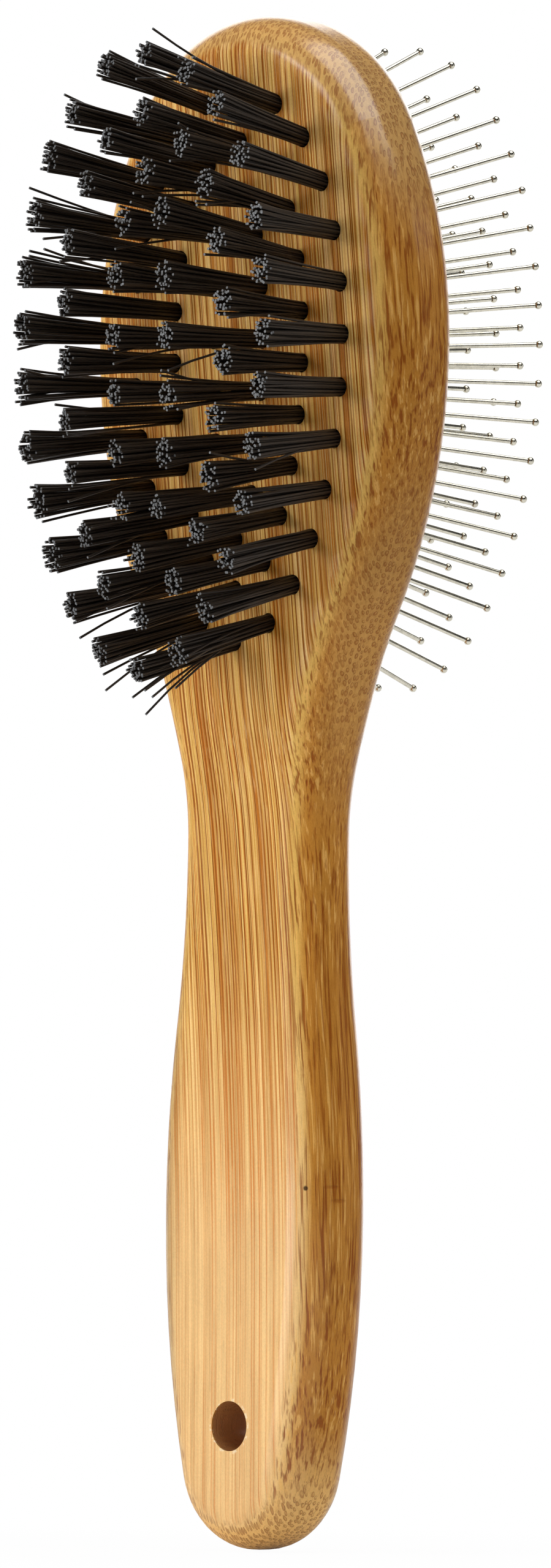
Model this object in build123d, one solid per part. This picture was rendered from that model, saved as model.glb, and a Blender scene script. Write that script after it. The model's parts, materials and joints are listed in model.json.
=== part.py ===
from build123d import *

import math
import os
import random

# Double-sided grooming brush, millimetres. +Z runs up the handle to the head, X is the width,
# the bristles point along -Y and the steel pins along +Y. The origin is the hang hole's centre.

# ---------------------------------------------------------------- wooden body
body_length = 235.0
body_hang_hole_from_end = 19.0
body_hang_hole_diameter = 7.7
body_butt_radius = 13.8
body_handle_width = 36.1
body_handle_widest_from_end = 51.0
body_waist_width = 29.8
body_neck_radius = 71.0
body_shoulder_radius = 88.7
body_head_width = 68.3
body_head_widest_from_tip = 50.0
body_crown_radius = 29.0
body_head_thickness = 15.4
body_waist_thickness = 12.4
body_handle_thickness = 14.1
body_flat_face_past_field = 1.0
body_round_over_radius = 6.0
round_over_least_land = 0.2

# ---------------------------------------------------------------- both working faces
field_centre_from_tip = 53.7
field_egg_factor = 0.1

# ---------------------------------------------------------------- bristle tufts
tuft_rings = ("outer", "middle", "inner")
tuft_ring_counts = (26, 20, 14)
tuft_ring_fans_across = (10.6, 9.4, 1.7)
tuft_edge_margin = 11.45
tuft_ring_step_across = 8.7
tuft_end_margin = 11.6
tuft_ring_step_along = 7.75
tuft_fan_along = 14.0
tuft_hole_diameter = 3.0
tuft_hole_depth = 7.0
tuft_root_clearance = 0.05
tuft_root_below_face = 0.7
tuft_exposed_length = 21.6
tuft_tip_spread = 2.35
tuft_length_scatter = 0.5
strand_width = 0.6
strands_round_centre = 6
strand_sides = 4
strand_sunk_in_root = 1.0

# ---------------------------------------------------------------- anchors in the tuft holes
anchor_thickness = 0.35
anchor_height = 1.6
anchor_bite = 0.2
anchor_above_hole_floor = 1.0

# ---------------------------------------------------------------- air cushion
cushion_edge_margin = 10.15
cushion_end_margin = 8.9
cushion_dome_height = 5.0
cushion_sheet_thickness = 1.5
cushion_flange_reach = 1.5
cushion_flange_thickness = 1.4
cushion_seat_clearance = 0.1
recess_depth = 4.5

# ---------------------------------------------------------------- steel pins
pin_rings = ("outer", "second", "third", "inner")
pin_ring_counts = (40, 34, 30, 20)
pin_edge_margin = 3.8
pin_ring_step_across = 4.8
pin_end_margin = 3.8
pin_ring_step_along = 6.0
pin_centre_row_count = 6
pin_centre_row_pitch = 5.0
pin_fan_across = 36.4
pin_fan_along = 24.6
pin_diameter = 0.7
pin_ball_diameter = 1.2
pin_exposed_length = 20.7
pin_head_diameter = 1.8
pin_head_thickness = 0.4
pin_head_gap = 0.3
pin_hole_clearance = 0.1

# ---------------------------------------------------------------- worked-out places
end_z = -body_hang_hole_from_end
tip_z = end_z + body_length
handle_widest_z = end_z + body_handle_widest_from_end
head_widest_z = tip_z - body_head_widest_from_tip
field_z = tip_z - field_centre_from_tip
tuft_outer_half_length = field_centre_from_tip - tuft_end_margin
cushion_half_length = field_centre_from_tip - cushion_end_margin
neck_across = (body_head_width - body_waist_width) / 2
neck_radii = body_neck_radius + body_shoulder_radius
waist_z = head_widest_z - math.sqrt(neck_across * (2 * neck_radii - neck_across))
bristle_face_y = -body_head_thickness / 2
pin_face_y = body_head_thickness / 2
body_cut_overrun = 5.0


def radial_point(centre, radius, angle):
    """Point of a circle at an angle given in radians."""
    return (centre[0] + radius * math.cos(angle), centre[1] + radius * math.sin(angle))


def short_arc(centre, radius, start, finish):
    """The shorter arc about centre from start to finish."""
    first = math.atan2(start[1] - centre[1], start[0] - centre[0])
    last = math.atan2(finish[1] - centre[1], finish[0] - centre[0])
    turn = (last - first + math.pi) % (2 * math.pi) - math.pi
    return ThreePointArc(start, radial_point(centre, radius, first + turn / 2), finish)


def s_curve(start, finish, share=0.5):
    """Two tangent arcs between points of a profile that both run along its second axis.

    The share is the first arc's part of the sum of the two radii.
    """
    across = finish[0] - start[0]
    along = finish[1] - start[1]
    radii = (across**2 + along**2) / (2 * across)
    first_radius = share * radii
    last_radius = radii - first_radius
    middle = (start[0] + share * across, start[1] + share * along)
    first = short_arc((start[0] + first_radius, start[1]), abs(first_radius), start, middle)
    last = short_arc((finish[0] - last_radius, finish[1]), abs(last_radius), middle, finish)
    return [first, last]


def end_and_side(end_radius, end_centre, half_width, widest_z):
    """Side arc that is upright where the body is widest and touches a round end from outside.

    Gives the side arc's centre and radius, and the point where the two arcs meet.
    """
    drop = widest_z - end_centre[1]
    side_radius = (half_width**2 + drop**2 - end_radius**2) / (2 * (half_width - end_radius))
    side_centre = (half_width - side_radius, widest_z)
    reach = side_radius / (side_radius - end_radius)
    corner = (
        side_centre[0] + reach * (end_centre[0] - side_centre[0]),
        side_centre[1] + reach * (end_centre[1] - side_centre[1]),
    )
    return side_centre, side_radius, corner


def half_outline():
    """Right half of the plan outline, from the handle end to the tip of the head."""
    handle = body_handle_width / 2
    waist = body_waist_width / 2
    head = body_head_width / 2
    butt_centre = (0, end_z + body_butt_radius)
    crown_centre = (0, tip_z - body_crown_radius)
    low_centre, low_radius, low_corner = end_and_side(
        body_butt_radius, butt_centre, handle, handle_widest_z
    )
    high_centre, high_radius, high_corner = end_and_side(
        body_crown_radius, crown_centre, head, head_widest_z
    )
    return [
        short_arc(butt_centre, body_butt_radius, (0, end_z), low_corner),
        short_arc(low_centre, low_radius, low_corner, (handle, handle_widest_z)),
        *s_curve((handle, handle_widest_z), (waist, waist_z)),
        *s_curve((waist, waist_z), (head, head_widest_z), body_neck_radius / neck_radii),
        short_arc(high_centre, high_radius, (head, head_widest_z), high_corner),
        short_arc(crown_centre, body_crown_radius, high_corner, (0, tip_z)),
    ]


def half_side_profile():
    """Pin side of the profile: level head, thinner waist, level handle."""
    head = body_head_thickness / 2
    waist = body_waist_thickness / 2
    handle = body_handle_thickness / 2
    flat_z = field_z - cushion_half_length - body_flat_face_past_field
    return [
        Line((head, tip_z + body_cut_overrun), (head, flat_z)),
        *s_curve((head, flat_z), (waist, waist_z)),
        *s_curve((waist, waist_z), (handle, handle_widest_z)),
        Line((handle, handle_widest_z), (handle, end_z - body_cut_overrun)),
    ]


def mirrored_face(half):
    """Face between a half outline and its mirror image, closed across open ends."""
    other = [edge.mirror(Plane.YZ) for edge in half]
    edges = half + other
    for place in (half[0] @ 0, half[-1] @ 1):
        if abs(place.X) > round_over_least_land:
            edges.append(Line((place.X, place.Y), (-place.X, place.Y)))
    return make_face(Curve() + edges)


def rim_edges(blank):
    """Edges where the blank's two working faces meet its side wall."""
    rim = []
    for edge in blank.edges():
        start = edge @ 0
        finish = edge @ 1
        crosses_face = abs(start.Z - finish.Z) < 1e-3
        crosses_wall = abs(start.Y - finish.Y) > body_waist_thickness / 2
        if not crosses_face and not crosses_wall:
            rim.append(edge)
    return rim


def rounded_blank():
    """Plan outline cut to the side profile, with every edge rounded over."""
    depth = body_head_thickness + 2 * body_cut_overrun
    plank = extrude(Plane.XZ.offset(-depth / 2) * mirrored_face(half_outline()), amount=depth)
    width = body_head_width + 2 * body_cut_overrun
    slab = extrude(Plane.YZ.offset(-width / 2) * mirrored_face(half_side_profile()), amount=width)
    blank = plank & slab
    thinnest = min(body_waist_thickness, body_handle_thickness, body_head_thickness)
    radius = min(body_round_over_radius, thinnest / 2 - round_over_least_land)
    return fillet(rim_edges(blank), radius=radius)


def oval_points(half_width, half_length, count, phase):
    """Right half of an egg-shaped ring: points at equal steps along it, from the top down.

    A phase of 0 puts the first and last on the centre line, and 0.5 puts all beside it.
    """
    steps = 2000
    walk = []
    length = 0.0
    previous = None
    for step in range(steps + 1):
        angle = math.pi * step / steps
        along = half_length * math.cos(angle)
        across = half_width * math.sin(angle) * (1 + field_egg_factor * math.cos(angle))
        if previous:
            length += math.hypot(across - previous[0], along - previous[1])
        previous = (across, along)
        walk.append((length, across, along))
    spots = []
    pitch = 2 * length / count
    for index in range(count // 2 + (1 if phase == 0 else 0)):
        target = min((index + phase) * pitch, length)
        _, across, along = min(walk, key=lambda spot: abs(spot[0] - target))
        spots.append((across, along))
    return spots


def fanned_plane(across, along, face_y, outward, fan_across, fan_along):
    """Plane standing on a face, its Z axis leaning out by two fan angles in degrees."""
    lean_x = math.radians(fan_across)
    lean_z = math.radians(fan_along)
    direction = (
        math.sin(lean_x) * math.cos(lean_z),
        outward * math.cos(lean_x) * math.cos(lean_z),
        math.sin(lean_z),
    )
    return Plane(origin=(across, face_y, field_z + along), x_dir=(1, 0, 0), z_dir=direction)


def tuft_ring_layout(ring):
    """Planes of one tuft ring, top first: a list of one or two mirrored planes per step."""
    half_width = body_head_width / 2 - tuft_edge_margin - ring * tuft_ring_step_across
    half_length = tuft_outer_half_length - ring * tuft_ring_step_along
    layout = []
    for across, along in oval_points(half_width, half_length, tuft_ring_counts[ring], 0):
        fan_across = tuft_ring_fans_across[ring] * across / half_width
        fan_along = tuft_fan_along * along / tuft_outer_half_length
        sides = (1, -1) if across > tuft_hole_diameter / 2 else (0,)
        layout.append([
            fanned_plane(side * across, along, bristle_face_y, -1, side * fan_across, fan_along)
            for side in sides
        ])
    return layout


def standing(solid, plane, height):
    """A solid built on its own XY plane, put at a height along a plane's Z axis."""
    return (plane.location * Location((0, 0, height))) * solid


def tuft_hole(plane):
    """Blind drill hole for one tuft."""
    overrun = body_round_over_radius / 2
    drill = Cylinder(
        tuft_hole_diameter / 2, tuft_hole_depth + overrun,
        align=(Align.CENTER, Align.CENTER, Align.MIN),
    )
    return standing(drill, plane, -tuft_hole_depth)


def anchor_plate(plane):
    """Flat wire driven across a hole, biting into the wood at both ends."""
    plate = Box(
        tuft_hole_diameter + 2 * anchor_bite, anchor_thickness, anchor_height,
        align=(Align.CENTER, Align.CENTER, Align.MIN),
    )
    return standing(plate, plane, anchor_above_hole_floor - tuft_hole_depth)


def strand(start, finish):
    """One straight faceted filament between two points."""
    direction = (finish - start).normalized()
    section = Plane(origin=start, z_dir=direction) * RegularPolygon(
        strand_width / math.sqrt(2), strand_sides
    )
    return extrude(section, amount=(finish - start).length, dir=direction)


def tuft(plane, scatter):
    """Folded root held in its hole by the anchor, with strands that spread to the tip."""
    root_radius = tuft_hole_diameter / 2 - tuft_root_clearance
    root_top = -tuft_root_below_face
    root = Cylinder(
        root_radius, tuft_hole_depth - tuft_root_below_face,
        align=(Align.CENTER, Align.CENTER, Align.MIN),
    )
    root = standing(root, plane, -tuft_hole_depth) - anchor_plate(plane)
    foot = root_top - strand_sunk_in_root
    base_radius = root_radius - strand_width / math.sqrt(2) - tuft_root_clearance
    spots = [(0.0, 0.0)]
    for index in range(strands_round_centre):
        angle = 2 * math.pi * (index + 0.5) / strands_round_centre
        spots.append((math.cos(angle), math.sin(angle)))
    strands = []
    for across, along in spots:
        height = tuft_exposed_length - scatter.uniform(0, tuft_length_scatter)
        start = plane.from_local_coords((across * base_radius, along * base_radius, foot))
        finish = plane.from_local_coords((across * tuft_tip_spread, along * tuft_tip_spread, height))
        strands.append(strand(Vector(start), Vector(finish)))
    return root.fuse(*strands)


# ---------------------------------------------------------------- cushion shape
mouth_half_width = body_head_width / 2 - cushion_edge_margin
dome_half_width = mouth_half_width - cushion_seat_clearance
dome_half_length = cushion_half_length - cushion_seat_clearance
recess_floor_y = pin_face_y - recess_depth
dome_top_y = pin_face_y + cushion_dome_height


def cap_radius(half_span):
    """Radius of the arc that rises by the dome's height over half a span."""
    return (half_span**2 + cushion_dome_height**2) / (2 * cushion_dome_height)


dome_cross_radius = cap_radius(dome_half_width)
dome_along_radius = cap_radius(dome_half_length)


def oval_block(half_width, half_length, bottom_y, top_y):
    """Upright elliptical block about the middle of the working field."""
    face = Plane(origin=(0, bottom_y, field_z), x_dir=(1, 0, 0), z_dir=(0, 1, 0))
    return extrude(face * Ellipse(half_width, half_length), amount=top_y - bottom_y)


def under_dome(shrink):
    """Block under a face that curves across the brush and, more gently, along it.

    Its top is an arc across the brush, swung about a far axis that lies across the brush too.
    """
    radius = dome_cross_radius - shrink
    centre_y = dome_top_y - dome_cross_radius
    rim_y = centre_y + math.sqrt(radius**2 - mouth_half_width**2)
    base_y = recess_floor_y - body_cut_overrun
    section = make_face(Curve() + [
        ThreePointArc(
            (-mouth_half_width, rim_y), (0, centre_y + radius), (mouth_half_width, rim_y)
        ),
        Line((mouth_half_width, rim_y), (mouth_half_width, base_y)),
        Line((mouth_half_width, base_y), (-mouth_half_width, base_y)),
        Line((-mouth_half_width, base_y), (-mouth_half_width, rim_y)),
    ])
    swing_axis = Axis((0, dome_top_y - dome_along_radius, 0), (1, 0, 0))
    swing = 2 * math.degrees(math.asin(
        (cushion_half_length + body_cut_overrun) / (dome_along_radius - cushion_dome_height)
    ))
    block = revolve(section, axis=swing_axis, revolution_arc=swing)
    return Location((0, 0, field_z)) * block.rotate(swing_axis, -swing / 2)


def dome_y(across, along, shrink):
    """Height in Y of the dome's face, or of a face inside it, over a spot of the field."""
    swing_radius = (
        dome_along_radius - dome_cross_radius
        + math.sqrt((dome_cross_radius - shrink) ** 2 - across**2)
    )
    return dome_top_y - dome_along_radius + math.sqrt(swing_radius**2 - along**2)


def depth_under_dome(plane):
    """Distance down a pin's axis from the dome's outer face to its inner one."""
    depth = cushion_sheet_thickness
    for _ in range(20):
        spot = plane.origin - plane.z_dir * depth
        above = spot.Y - dome_y(spot.X, spot.Z - field_z, cushion_sheet_thickness)
        depth += above / plane.z_dir.Y
    return depth


def recess():
    """Oval pocket behind the pins, with an undercut groove round its floor."""
    pocket = oval_block(
        mouth_half_width, cushion_half_length, recess_floor_y, pin_face_y + body_cut_overrun
    )
    groove = oval_block(
        mouth_half_width + cushion_flange_reach,
        cushion_half_length + cushion_flange_reach,
        recess_floor_y,
        recess_floor_y + cushion_flange_thickness + cushion_seat_clearance,
    )
    return [pocket, groove]


def pin_layout():
    """Planes of every pin on the dome, by node name."""
    outer_half_width = mouth_half_width - pin_edge_margin
    outer_half_length = cushion_half_length - pin_end_margin
    layout = {}

    def add(name, across, along):
        layout.setdefault(name, []).append(fanned_plane(
            across, along, dome_y(across, along, 0), 1,
            pin_fan_across * across / outer_half_width, pin_fan_along * along / outer_half_length,
        ))

    for ring, title in enumerate(pin_rings):
        half_width = outer_half_width - ring * pin_ring_step_across
        half_length = outer_half_length - ring * pin_ring_step_along
        for across, along in oval_points(half_width, half_length, pin_ring_counts[ring], 0.5):
            add(f"pins_{title}_ring_right", across, along)
            add(f"pins_{title}_ring_left", -across, along)
    for index in range(pin_centre_row_count):
        add("pins_centre_row", 0.0, (index - (pin_centre_row_count - 1) / 2) * pin_centre_row_pitch)
    return layout


def pin(plane):
    """Ball-tipped steel pin with a flat head under the rubber."""
    shaft = pin_diameter / 2
    ball = pin_ball_diameter / 2
    head = pin_head_diameter / 2
    head_top = -depth_under_dome(plane) - pin_head_gap
    head_foot = head_top - pin_head_thickness
    ball_centre = pin_exposed_length - ball
    ball_foot = ball_centre - math.sqrt(ball**2 - shaft**2)
    section = make_face(Curve() + [
        Line((0, head_foot), (head, head_foot)),
        Line((head, head_foot), (head, head_top)),
        Line((head, head_top), (shaft, head_top)),
        Line((shaft, head_top), (shaft, ball_foot)),
        ThreePointArc((shaft, ball_foot), (ball, ball_centre), (0, pin_exposed_length)),
        Line((0, pin_exposed_length), (0, head_foot)),
    ])
    upright = revolve(section, axis=Axis.Y).rotate(Axis.X, 90)
    return plane.location * upright


def pin_hole(plane):
    """Running hole for one pin through the rubber."""
    depth = depth_under_dome(plane) + cushion_sheet_thickness
    drill = Cylinder(
        pin_diameter / 2 + pin_hole_clearance, depth + cushion_sheet_thickness,
        align=(Align.CENTER, Align.CENTER, Align.MIN),
    )
    return standing(drill, plane, -depth)


def cushion(pin_planes):
    """Domed rubber sheet with a side wall and a flange that tucks under the recess's lip."""
    flange = oval_block(
        dome_half_width + cushion_flange_reach, dome_half_length + cushion_flange_reach,
        recess_floor_y, recess_floor_y + cushion_flange_thickness,
    )
    bulge = oval_block(dome_half_width, dome_half_length, recess_floor_y, dome_top_y)
    hollow = oval_block(
        dome_half_width - cushion_sheet_thickness, dome_half_length - cushion_sheet_thickness,
        recess_floor_y, dome_top_y,
    )
    shell = flange + (bulge & under_dome(0)) - (hollow & under_dome(cushion_sheet_thickness))
    return shell - [pin_hole(plane) for plane in pin_planes]


def handle_body(tuft_planes):
    """Bamboo body with its hang hole, tuft holes, anchor nicks and cushion recess."""
    hang_hole = Cylinder(
        body_hang_hole_diameter / 2, body_handle_thickness + 2 * body_cut_overrun,
        rotation=(90, 0, 0),
    )
    drills = [tuft_hole(plane) for plane in tuft_planes]
    nicks = [anchor_plate(plane) for plane in tuft_planes]
    return rounded_blank() - [hang_hole, *recess(), *drills, *nicks]


def write_node(name, shapes):
    """Write one node: a single solid, or a group of like ones."""
    solids = [solid for shape in shapes for solid in shape.solids()]
    node = solids[0] if len(solids) == 1 else Compound(children=solids)
    node.label = name
    export_step(node, f"parts/{name}.step")


def build():
    """Write every node of the brush."""
    os.makedirs("parts", exist_ok=True)
    scatter = random.Random(7)
    every_plane = []
    for ring, title in enumerate(tuft_rings):
        layout = tuft_ring_layout(ring)
        for step, planes in enumerate(layout, start=1):
            write_node(f"tufts_{title}_{step:02d}", [tuft(plane, scatter) for plane in planes])
        ring_planes = [plane for planes in layout for plane in planes]
        write_node(f"anchors_{title}_ring", [anchor_plate(plane) for plane in ring_planes])
        every_plane += ring_planes
    write_node("handle_body", [handle_body(every_plane)])
    layout = pin_layout()
    for name, planes in layout.items():
        write_node(name, [pin(plane) for plane in planes])
    write_node("pin_cushion", [cushion([plane for planes in layout.values() for plane in planes])])


build()
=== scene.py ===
# %% [markdown]
# A double-sided grooming brush: one bamboo body, nylon bristle tufts on one face and ball-tipped
# steel pins in an air cushion on the other. The CAD model is the frame. It gives the body, the
# pins and the wire anchors their exact shapes, so they stay and only get better materials. The
# bristles and the rubber are soft and full of small irregularities, which a surface worked out
# with numpy shows better than a solid, so those are made here in the places that the frame gives.

import json
import math

import bpy
import numpy as np
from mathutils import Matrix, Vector


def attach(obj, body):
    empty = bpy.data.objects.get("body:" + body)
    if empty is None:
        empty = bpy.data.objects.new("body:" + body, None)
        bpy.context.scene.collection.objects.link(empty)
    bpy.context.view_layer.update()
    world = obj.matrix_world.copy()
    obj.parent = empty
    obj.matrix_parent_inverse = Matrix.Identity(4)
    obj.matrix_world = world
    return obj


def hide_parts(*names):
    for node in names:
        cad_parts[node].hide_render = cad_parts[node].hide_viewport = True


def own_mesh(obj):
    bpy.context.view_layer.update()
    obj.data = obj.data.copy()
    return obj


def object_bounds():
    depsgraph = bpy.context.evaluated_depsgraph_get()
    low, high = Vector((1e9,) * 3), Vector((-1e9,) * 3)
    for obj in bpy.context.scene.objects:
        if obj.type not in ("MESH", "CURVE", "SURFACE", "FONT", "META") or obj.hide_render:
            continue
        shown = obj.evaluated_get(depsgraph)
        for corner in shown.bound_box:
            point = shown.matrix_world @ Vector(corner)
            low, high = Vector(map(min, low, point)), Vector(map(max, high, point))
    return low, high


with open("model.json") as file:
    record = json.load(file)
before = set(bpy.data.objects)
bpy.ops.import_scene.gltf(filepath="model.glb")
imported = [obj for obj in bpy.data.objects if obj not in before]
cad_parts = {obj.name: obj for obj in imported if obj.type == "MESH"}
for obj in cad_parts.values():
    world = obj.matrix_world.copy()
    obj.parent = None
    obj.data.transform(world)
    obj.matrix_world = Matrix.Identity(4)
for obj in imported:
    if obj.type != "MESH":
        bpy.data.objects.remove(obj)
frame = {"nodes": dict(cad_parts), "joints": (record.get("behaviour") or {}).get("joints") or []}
cad_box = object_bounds()
nodes = frame["nodes"]
MM = 0.001
print("CAD box, mm:", [[round(v / MM, 1) for v in corner] for corner in cad_box])

# %% [markdown]
# Materials here are sums: a ring of fibre is one dot minus a smaller one, a stain is a mask times
# a share. Placing Math nodes by hand hides such a sum, so a small class wraps a node's output and
# lets Python's own operators add the nodes. Every other kind of node comes from one method.

# %% A wire: a node's output that can be used in arithmetic
class Wire:
    """One output socket of a node tree. Plain arithmetic on it adds Math nodes."""

    def __init__(self, tree, socket):
        self.tree, self.socket = tree, socket

    @classmethod
    def make(cls, tree, kind, settings=None, sockets=None, output=0):
        """Adds a node: its settings first, then a value or a wire for each named socket."""
        node = tree.nodes.new(kind)
        for name, value in (settings or {}).items():
            setattr(node, name, value)
        for key, value in (sockets or {}).items():
            if isinstance(value, Wire):
                tree.links.new(value.socket, node.inputs[key])
            else:
                node.inputs[key].default_value = value
        return cls(tree, node.outputs[output] if node.outputs else None)

    def maths(self, operation, *others):
        """A Math node on this wire and, after it, the others."""
        values = dict(enumerate((self, *others)))
        return Wire.make(self.tree, "ShaderNodeMath", {"operation": operation}, values)

    def flipped(self, operation, first):
        """A Math node in which this wire comes second."""
        return Wire.make(self.tree, "ShaderNodeMath", {"operation": operation}, {0: first, 1: self})

    def __add__(self, other):
        return self.maths("ADD", other)

    def __sub__(self, other):
        return self.maths("SUBTRACT", other)

    def __rsub__(self, other):
        return self.flipped("SUBTRACT", other)

    def __mul__(self, other):
        return self.maths("MULTIPLY", other)

    def __truediv__(self, other):
        return self.maths("DIVIDE", other)

    __radd__, __rmul__ = __add__, __mul__

    def ramp(self, low, high):
        """0 below low, 1 above high, eased between; low may be the larger of the two."""
        sockets = {0: self, 1: low, 2: high, 3: 0.0, 4: 1.0}
        return Wire.make(self.tree, "ShaderNodeMapRange", {"interpolation_type": "SMOOTHSTEP"}, sockets)

    def bell(self, centre, reach):
        """1 at centre, easing to 0 a reach away on both sides."""
        return (self - centre).maths("ABSOLUTE").ramp(reach, 0.0)

    def split(self):
        """The three parts of a vector or a colour."""
        parts = Wire.make(self.tree, "ShaderNodeSeparateXYZ", None, {0: self}).socket.node.outputs
        return [Wire(self.tree, part) for part in parts]


def vector(tree, x, y, z):
    """A vector put together from three wires or numbers."""
    return Wire.make(tree, "ShaderNodeCombineXYZ", None, {0: x, 1: y, 2: z})


def stretched(tree, place, x, y, z):
    """A place whose axes are multiplied by three numbers."""
    settings = {"operation": "MULTIPLY"}
    return Wire.make(tree, "ShaderNodeVectorMath", settings, {0: place, 1: (x, y, z)})


def noise(tree, place, detail=2.0, roughness=0.5, output=0):
    """Soft random clouds about one unit across, around 0.5."""
    sockets = {"Vector": place, "Scale": 1.0, "Detail": detail, "Roughness": roughness}
    return Wire.make(tree, "ShaderNodeTexNoise", None, sockets, output)


def mixed(tree, first, second, share, blend="MIX"):
    """Two colours mixed by a share, or blended in another named way."""
    settings = {"data_type": "RGBA", "blend_type": blend}
    return Wire.make(tree, "ShaderNodeMix", settings, {0: share, 6: first, 7: second}, 2)


def screen_colour(red, green, blue):
    """A colour as read off a screen, 0 to 255, turned into the linear light that nodes use."""
    values = np.array([red, green, blue]) / 255
    linear = np.where(values <= 0.04045, values / 12.92, ((values + 0.055) / 1.055) ** 2.4)
    return (*linear.tolist(), 1.0)


def new_material(name):
    """A material with an empty node tree."""
    made = bpy.data.materials.new(name)
    made.use_nodes = True
    made.node_tree.nodes.clear()
    return made, made.node_tree


def finish_surface(tree, shader):
    """Joins a shader to the material's output."""
    Wire.make(tree, "ShaderNodeOutputMaterial", None, {"Surface": shader})


def place_in_mm(tree):
    """The point of the object being shaded, in millimetres."""
    place = Wire.make(tree, "ShaderNodeTexCoord", None, None, 3)
    return stretched(tree, place, 1 / MM, 1 / MM, 1 / MM)


print("shader helpers ready")

# %% [markdown]
# Bamboo isn't ringed like wood. It is a pale ground packed with thin fibre bundles that all run
# up the stalk, a few degrees off the brush's own axis. Where the surface runs along the fibres, a
# bundle shows as a long dark line; where it meets them at a slant, as a short flame; where it
# cuts across them, as a small dark ring with a paler core. One solid pattern could give all
# three, but it smears on the slants. So each cut gets a pattern of its own along the same fibres,
# and the direction of the surface says which one shows.

# %% Colours of the bamboo
FRONT_GROUND = screen_colour(226, 182, 96)
SIDE_GROUND = screen_colour(194, 131, 50)
PALE_GROUND = screen_colour(242, 200, 137)
# Paler end grain; on end grain that faces up it also serves as a painted sheen.
END_GRAIN_AND_SHEEN = screen_colour(214, 167, 98)
# Painted bounce light: a paler ground for the lowest part of the butt, as if lit from the floor.
BUTT_BOUNCE_LIGHT = screen_colour(250, 202, 126)
BUNDLE_DARK = screen_colour(140, 64, 4)
BUNDLE_SOFT = screen_colour(172, 106, 30)
LINE_DARK = screen_colour(144, 76, 4)
LINE_PALE = screen_colour(214, 134, 62)
FIBRE_RED = screen_colour(190, 104, 18)
FIBRE_LIGHT = screen_colour(246, 204, 138)
FLAME_LIGHT = screen_colour(236, 182, 100)
STAIN_BROWN = screen_colour(142, 72, 12)
PIT_BROWN = screen_colour(56, 32, 14)
CHIP_PALE = screen_colour(246, 224, 184)
BORE_BROWN = screen_colour(174, 120, 74)
print("colours of the bamboo ready")

# %% [markdown]
# Bundles stand in rough rows a little under a millimetre apart, never exactly. A Voronoi texture
# does that: it scatters one point in each cell of a grid and gives the distance to the nearest.
# Over one axis its cells are lines, each with a strength of its own. Over two axes they are dots,
# and a dot less a smaller dot that is set off centre is a ring. Both start from a place carried
# along the fibres, so that every pattern leans the same way.

# %% Bundles cut lengthways and cut across
FIBRE_LEAN = 0.118
BEND_LEVEL, BEND_REACH = 42.0, 20.0
RING_PITCH = (0.56, 0.92)
RING_EDGE, CORE_EDGE = (0.37, 0.31), (0.25, 0.15)
CORE_SHIFT = (0.07, 0.05)


def along_fibres(x, z):
    """X carried along the fibres to one level: x + lean/2 (d + sqrt(d^2 + reach^2)).

    d is the height over the bend. Well above it the fibres lean, well below they stand straight.
    """
    d = z - BEND_LEVEL
    return x + FIBRE_LEAN / 2 * (d + (d * d + BEND_REACH**2).maths("SQRT"))


def bundle_rings(tree, u, v):
    """Dark rings with a lighter core set off centre, one to a cell of a scattered grid.

    Gives the outline mask, the core mask and the cell's own random value.
    """
    settings = {"voronoi_dimensions": "2D", "feature": "F1"}
    u, v = u / RING_PITCH[0], v / RING_PITCH[1]
    sockets = {"Vector": vector(tree, u, v, 0.0), "Scale": 1.0, "Randomness": 0.62}
    distance = Wire.make(tree, "ShaderNodeTexVoronoi", settings, sockets, 0)
    size, strength, _ = Wire(tree, distance.socket.node.outputs[1]).split()
    outer = (distance / (0.82 + 0.36 * size)).ramp(*RING_EDGE)
    sockets["Vector"] = vector(tree, u - CORE_SHIFT[0], v - CORE_SHIFT[1], 0.0)
    core = Wire.make(tree, "ShaderNodeTexVoronoi", settings, sockets, 0).ramp(*CORE_EDGE)
    return outer, core, strength


def fibre_lines(tree, u, spacing, width, key):
    """Thin lines a random step apart, with a random strength each; key shifts the whole row."""
    settings = {"voronoi_dimensions": "1D", "feature": "F1"}
    sockets = {"W": u / spacing + key, "Scale": 1.0, "Randomness": 1.0}
    distance = Wire.make(tree, "ShaderNodeTexVoronoi", settings, sockets, 0)
    strength, _, _ = Wire(tree, distance.socket.node.outputs[1]).split()
    return distance.ramp(width / spacing, 0.35 * width / spacing) * (0.3 + 0.7 * strength)


print("fibres lean by", round(math.degrees(math.atan(FIBRE_LEAN)), 1), "degrees in the head")

# %% [markdown]
# Before any colour, the material works out where a point lies in the stalk and how the surface
# cuts it there. The object normal's Y is 1 or -1 on the broad faces, and its Z grows towards the
# top, the shoulders and the butt, where the fibres are cut end on. Noise stretched along the
# stalk makes everything that comes and goes along a fibre, so one table lists all such noises.

# %% Where a point lies in the stalk
# Slow drift: clouds to a millimetre, then how many millimetres it moves lines and rows.
DRIFT_SCALE = (0.05, 0.05, 0.022)
LINE_DRIFT, ROW_DRIFT_U, ROW_DRIFT_V = 0.25, 0.6, 2.0
GRAIN = {
    # name: clouds to a millimetre over u, v and z, then detail and roughness
    "groups": (0.26, 0.20, 0.010, 1.0, 0.5),
    "patches": (0.55, 0.55, 0.030, 2.0, 0.6),
    "fades": (1.3, 1.3, 0.060, 2.0, 0.6),
    "bands": (0.55, 0.4, 0.008, 2.0, 0.6),
    "short_flames": (1.9, 1.9, 0.13, 2.0, 0.55),
    "long_flames": (2.1, 2.1, 0.055, 2.0, 0.6),
    "strokes": (3.0, 3.0, 0.09, 2.0, 0.6),
    "streaks": (1.1, 1.1, 0.08, 3.0, 0.7),
}
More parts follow.
